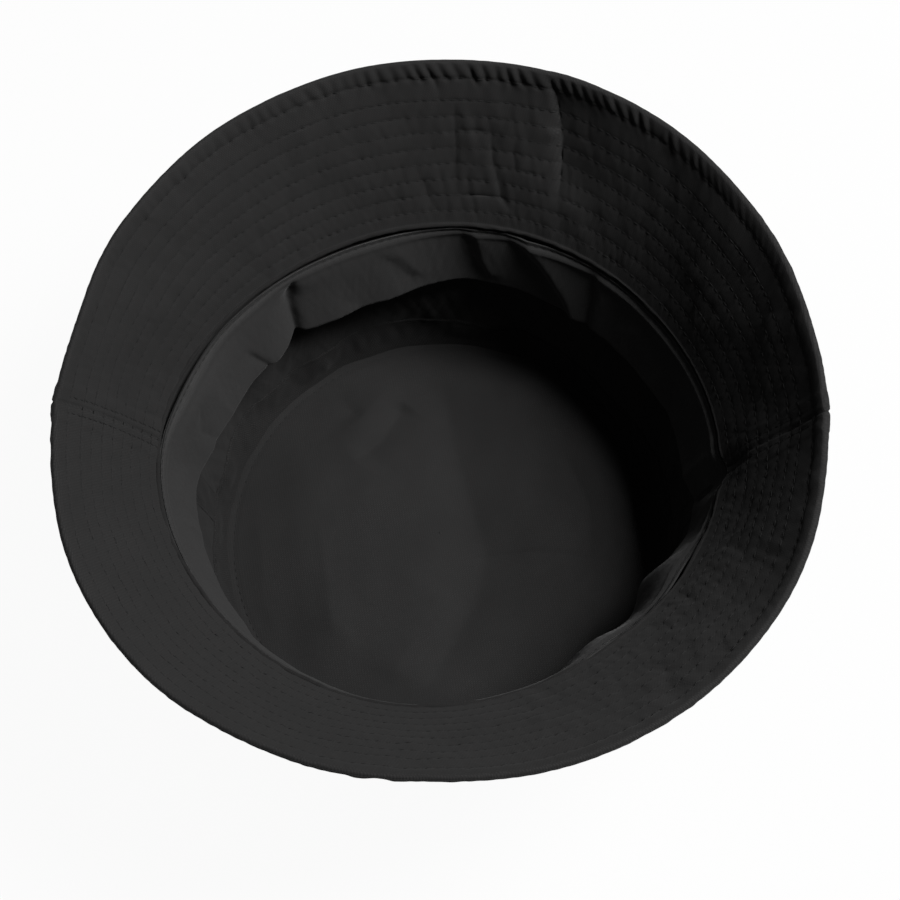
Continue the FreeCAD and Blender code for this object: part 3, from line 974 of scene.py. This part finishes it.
def make_crown_threads():
    outside, lift = -1, CROWN_CLOTH + 0.05 * MM
    make_rows("crown_tip_stitches", "crown_tip_thread", [
        row_on_tip(),
        row_round(crown_bent, 1 - 6 * MM / CROWN_HEIGHT, lift, outside),
        row_round(crown_bent, 1 - TAPE_ROW / CROWN_HEIGHT, 0.42 * MM),
    ])
    joint_row = row_round(crown_bent, 3 * MM / CROWN_HEIGHT, lift, outside)
    make_rows("crown_joint_stitches", "crown_joint_thread", [joint_row])
    band_row = row_round(band_surface, (BAND_ROW - BAND_TOP) / (BAND_WIDTH - BAND_TOP), 0.06 * MM)
    make_rows("sweatband_stitches", "sweatband_thread", [band_row])
    for side in ("left", "right"):
        make_rows(f"crown_side_stitches_{side}", f"crown_side_thread_{side}", rows_down_crown(side))


# ------------ materials

class Graph:
    """Adds nodes to a material or a world and links them."""

    def __init__(self, owner):
        owner.use_nodes = True
        self.owner = owner
        self.tree = owner.node_tree

    def fill(self, node, inputs):
        """Links a node's inputs to sockets, or gives them values."""
        for key, value in inputs.items():
            if isinstance(value, bpy.types.NodeSocket):
                self.tree.links.new(value, node.inputs[key])
            else:
                node.inputs[key].default_value = value
        return node

    def node(self, kind, inputs=None, **settings):
        made = self.tree.nodes.new("ShaderNode" + kind)
        for key, value in settings.items():
            setattr(made, key, value)
        return self.fill(made, inputs or {})

    def math(self, operation, *values):
        return self.node("Math", dict(enumerate(values)), operation=operation).outputs[0]

    def product(self, first, *rest):
        for value in rest:
            first = self.math("MULTIPLY", first, value)
        return first

    def noise(self, vector, scale, detail=2.0, roughness=0.5):
        inputs = {"Vector": vector, "Scale": scale, "Detail": detail, "Roughness": roughness}
        return self.node("TexNoise", inputs).outputs["Fac"]

    def spread(self, value, low, high):
        inputs = {"Value": value, "From Min": 0.3, "From Max": 0.7, "To Min": low, "To Max": high}
        return self.node("MapRange", inputs).outputs["Result"]


def twill(name, dark, pale, rib=0.62, slant=45, relief=0.035, roughness=(0.85, 0.97), sheen=0.04,
          patches=0.25):
    """Woven cotton twill: slanting ribs of short floats, uneven yarns, lint and patches of worn dye.
    dark and pale are the colours in the ribs' valleys and on their tops; rib is their spacing in mm."""
    g = Graph(bpy.data.materials.new(name))
    flat = g.node("UVMap", uv_map="cloth").outputs["UV"]
    millimetres = g.node("VectorMath", {0: flat, "Scale": 1 / MM}, operation="SCALE").outputs["Vector"]
    slanted = {"Vector": millimetres, "Angle": math.radians(slant)}
    turn = g.node("VectorRotate", slanted, rotation_type="Z_AXIS")
    split = g.node("SeparateXYZ", {0: turn.outputs["Vector"]})
    drift = g.noise(millimetres, 0.35, 3.0)
    across = g.math("ADD", g.math("DIVIDE", split.outputs["X"], rib), g.product(drift, 1.6))
    along = g.math("DIVIDE", split.outputs["Y"], rib * 1.7)
    rib_number = g.math("FLOOR", across)
    ridge = g.math("SINE", g.product(g.math("FRACT", across), math.pi))
    step = g.math("ADD", along, g.product(rib_number, 0.37))
    floats = g.math("POWER", g.math("ABSOLUTE", g.math("SINE", g.product(step, math.pi))), 0.5)
    yarn = g.noise(millimetres, 1.9, 4.0, 0.65)
    weave = g.product(ridge, floats, g.spread(yarn, 0.6, 1.25))
    place = g.node("TexCoord").outputs["Object"]
    patch = g.spread(g.noise(place, 38.0, 4.0, 0.6), 1 - patches, 1 + patches)
    fluff = g.spread(g.noise(place, 900.0, 5.0, 0.8), 0.75, 1.3)
    shade = g.product(weave, g.product(patch, fluff, g.spread(yarn, 0.85, 1.15)))
    ramp = g.node("MapRange", {"Value": shade, "From Min": 0.0, "From Max": 1.2}).outputs["Result"]
    colour = g.node("Mix", {"Factor": ramp, "A": (*dark, 1), "B": (*pale, 1)}, data_type="RGBA")
    height = g.math("ADD", weave, g.product(g.noise(place, 420.0, 4.0, 0.7), 0.9))
    bumps = g.node("Bump", {"Height": height, "Strength": 1.0, "Distance": relief * MM})
    g.fill(g.tree.nodes["Principled BSDF"], {
        "Base Color": colour.outputs["Result"],
        "Roughness": g.spread(g.noise(place, 160.0, 3.0), *roughness),
        "Normal": bumps.outputs["Normal"],
        "Specular IOR Level": 0.15,
        "Sheen Weight": sheen,
        "Sheen Roughness": 0.5,
    })
    return g.owner


def thread_material(name):
    g = Graph(bpy.data.materials.new(name))
    place = g.node("TexCoord").outputs["Object"]
    twist = g.noise(place, 2600.0, 2.0)
    # The thread's tone is darker than the cloth's: its own black, and painted shade standing in for the
    # shadow in the stitch grooves.
    tone = g.spread(twist, 0.012, 0.026)
    g.fill(g.tree.nodes["Principled BSDF"], {
        "Base Color": g.node("CombineColor", {0: tone, 1: tone, 2: tone}).outputs[0],
        "Roughness": g.spread(g.noise(place, 300.0), 0.6, 0.8),
        "Normal": g.node("Bump", {"Height": twist, "Strength": 0.8, "Distance": 0.05 * MM}).outputs["Normal"],
        "Specular IOR Level": 0.2,
    })
    return g.owner


BLACK, WORN_BLACK = (0.020, 0.020, 0.020), (0.036, 0.035, 0.035)
# A darker black, used by the piping and the seam tape: painted shade.
SHADED_BLACK = (0.012, 0.012, 0.012)
CLOTHS = {
    "black_twill": dict(dark=BLACK, pale=WORN_BLACK),
    "brim_underside_twill": dict(dark=BLACK, pale=WORN_BLACK),
    "sweatband_twill": dict(
        dark=(0.027, 0.027, 0.027), pale=(0.050, 0.049, 0.049),
        rib=0.45, relief=0.03, roughness=(0.6, 0.8), sheen=0.08, patches=0.15,
    ),
    # The piping's copy of the band cloth is darker than the band: painted shade on the raised cord.
    "piping_shaded_twill": dict(dark=SHADED_BLACK, pale=(0.030, 0.029, 0.029), rib=0.45, relief=0.04),
    # The seam tape's darker black is painted shade: the band's shadow over the foot of the wall.
    "seam_tape": dict(dark=SHADED_BLACK, pale=WORN_BLACK, rib=0.7, slant=20, relief=0.06),
    "interlining": dict(
        dark=(0.035, 0.035, 0.035), pale=(0.065, 0.065, 0.065), rib=0.9, slant=0, relief=0.1,
    ),
}


# ------------ floor and light

FLOOR_REACH, FLOOR_DROP = 6.0, 0.2 * MM
FLOOR_GLOW = 0.95  # how much of its white comes from itself, to the camera
KEY_LIGHT = dict(azimuth=10, elevation=58.3, distance=1.3, size=(0.45, 0.55), power=19)
WORLD_LIGHT = 0.05  # the world's strength to everything but the camera


def make_floor():
    """A plain white sweep of paper, bright enough to the camera to have no edge."""
    mesh = bpy.data.meshes.new("floor")
    r = FLOOR_REACH
    mesh.from_pydata([(-r, -r, 0), (r, -r, 0), (r, r, 0), (-r, r, 0)], [], [(0, 1, 2, 3)])
    floor = add_object("floor", mesh)
    g = Graph(bpy.data.materials.new("white_paper"))
    paper = {"Base Color": (0.82, 0.82, 0.82, 1), "Roughness": 0.9, "Specular IOR Level": 0.1}
    shader = g.fill(g.tree.nodes["Principled BSDF"], paper)
    glow = g.node("Emission", {"Color": (1, 1, 1, 1), "Strength": 1.0})
    seen = g.product(g.node("LightPath").outputs["Is Camera Ray"], FLOOR_GLOW)
    mix = g.node("MixShader", {0: seen, 1: shader.outputs[0], 2: glow.outputs[0]})
    g.fill(g.tree.nodes["Material Output"], {"Surface": mix.outputs[0]})
    mesh.materials.append(g.owner)
    floor.location.z = -FLOOR_DROP


def area_light(name, azimuth, elevation, distance, size, power):
    """A soft light that looks at the hat. Azimuth is from +X towards +Y, in degrees."""
    a, e = math.radians(azimuth), math.radians(elevation)
    towards = Vector((math.cos(a) * math.cos(e), math.sin(a) * math.cos(e), math.sin(e)))
    data = bpy.data.lights.new(name, "AREA")
    data.shape = "RECTANGLE"
    data.size, data.size_y = size
    data.energy = power
    light = add_object(name, data)
    light.matrix_world = (
        Matrix.Translation(Vector((0, 0, JOINT_Z)) + towards * distance)
        @ (-towards).to_track_quat("-Z", "Y").to_matrix().to_4x4()
    )


def make_lights():
    area_light("key", **KEY_LIGHT)
    g = Graph(bpy.data.worlds.new("studio"))
    ray = g.node("LightPath").outputs["Is Camera Ray"]
    strength = g.node("MapRange", {"Value": ray, "To Min": WORLD_LIGHT, "To Max": 1.0}).outputs["Result"]
    g.fill(g.tree.nodes["Background"], {"Color": (1, 1, 1, 1), "Strength": strength})
    bpy.context.scene.world = g.owner
    bpy.context.scene.view_settings.view_transform = "Standard"


# ------------ everything together

make_camera()
for half in ("back", "front"):
    make_brim_cloth(half, under=True)
    make_brim_cloth(half, under=False)
    make_interlining(half)
    make_crown_side(half)
make_tip()
make_crown_tape()
make_sweatband()
make_piping()
for side in ("left", "right"):
    make_side_tape(side)
    make_rows(f"brim_seam_stitches_{side}", f"brim_seam_thread_{side}", rows_beside_seam(side))
make_rows("brim_topstitching", "brim_topstitch_thread", rows_round_brim(ROW_SHARES, BRIM_COUNTS))
make_rows("brim_edge_stitching", "brim_edge_thread", rows_round_brim([EDGE_SHARE], [EDGE_COUNT]))
make_crown_threads()

MATERIALS = {name: twill(name, **settings) for name, settings in CLOTHS.items()}
MATERIALS["black_thread"] = thread_material("black_thread")
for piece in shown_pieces():
    piece.data.materials.clear()
    piece.data.materials.append(MATERIALS[piece.get("finish", piece["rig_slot"])])

make_floor()
make_lights()
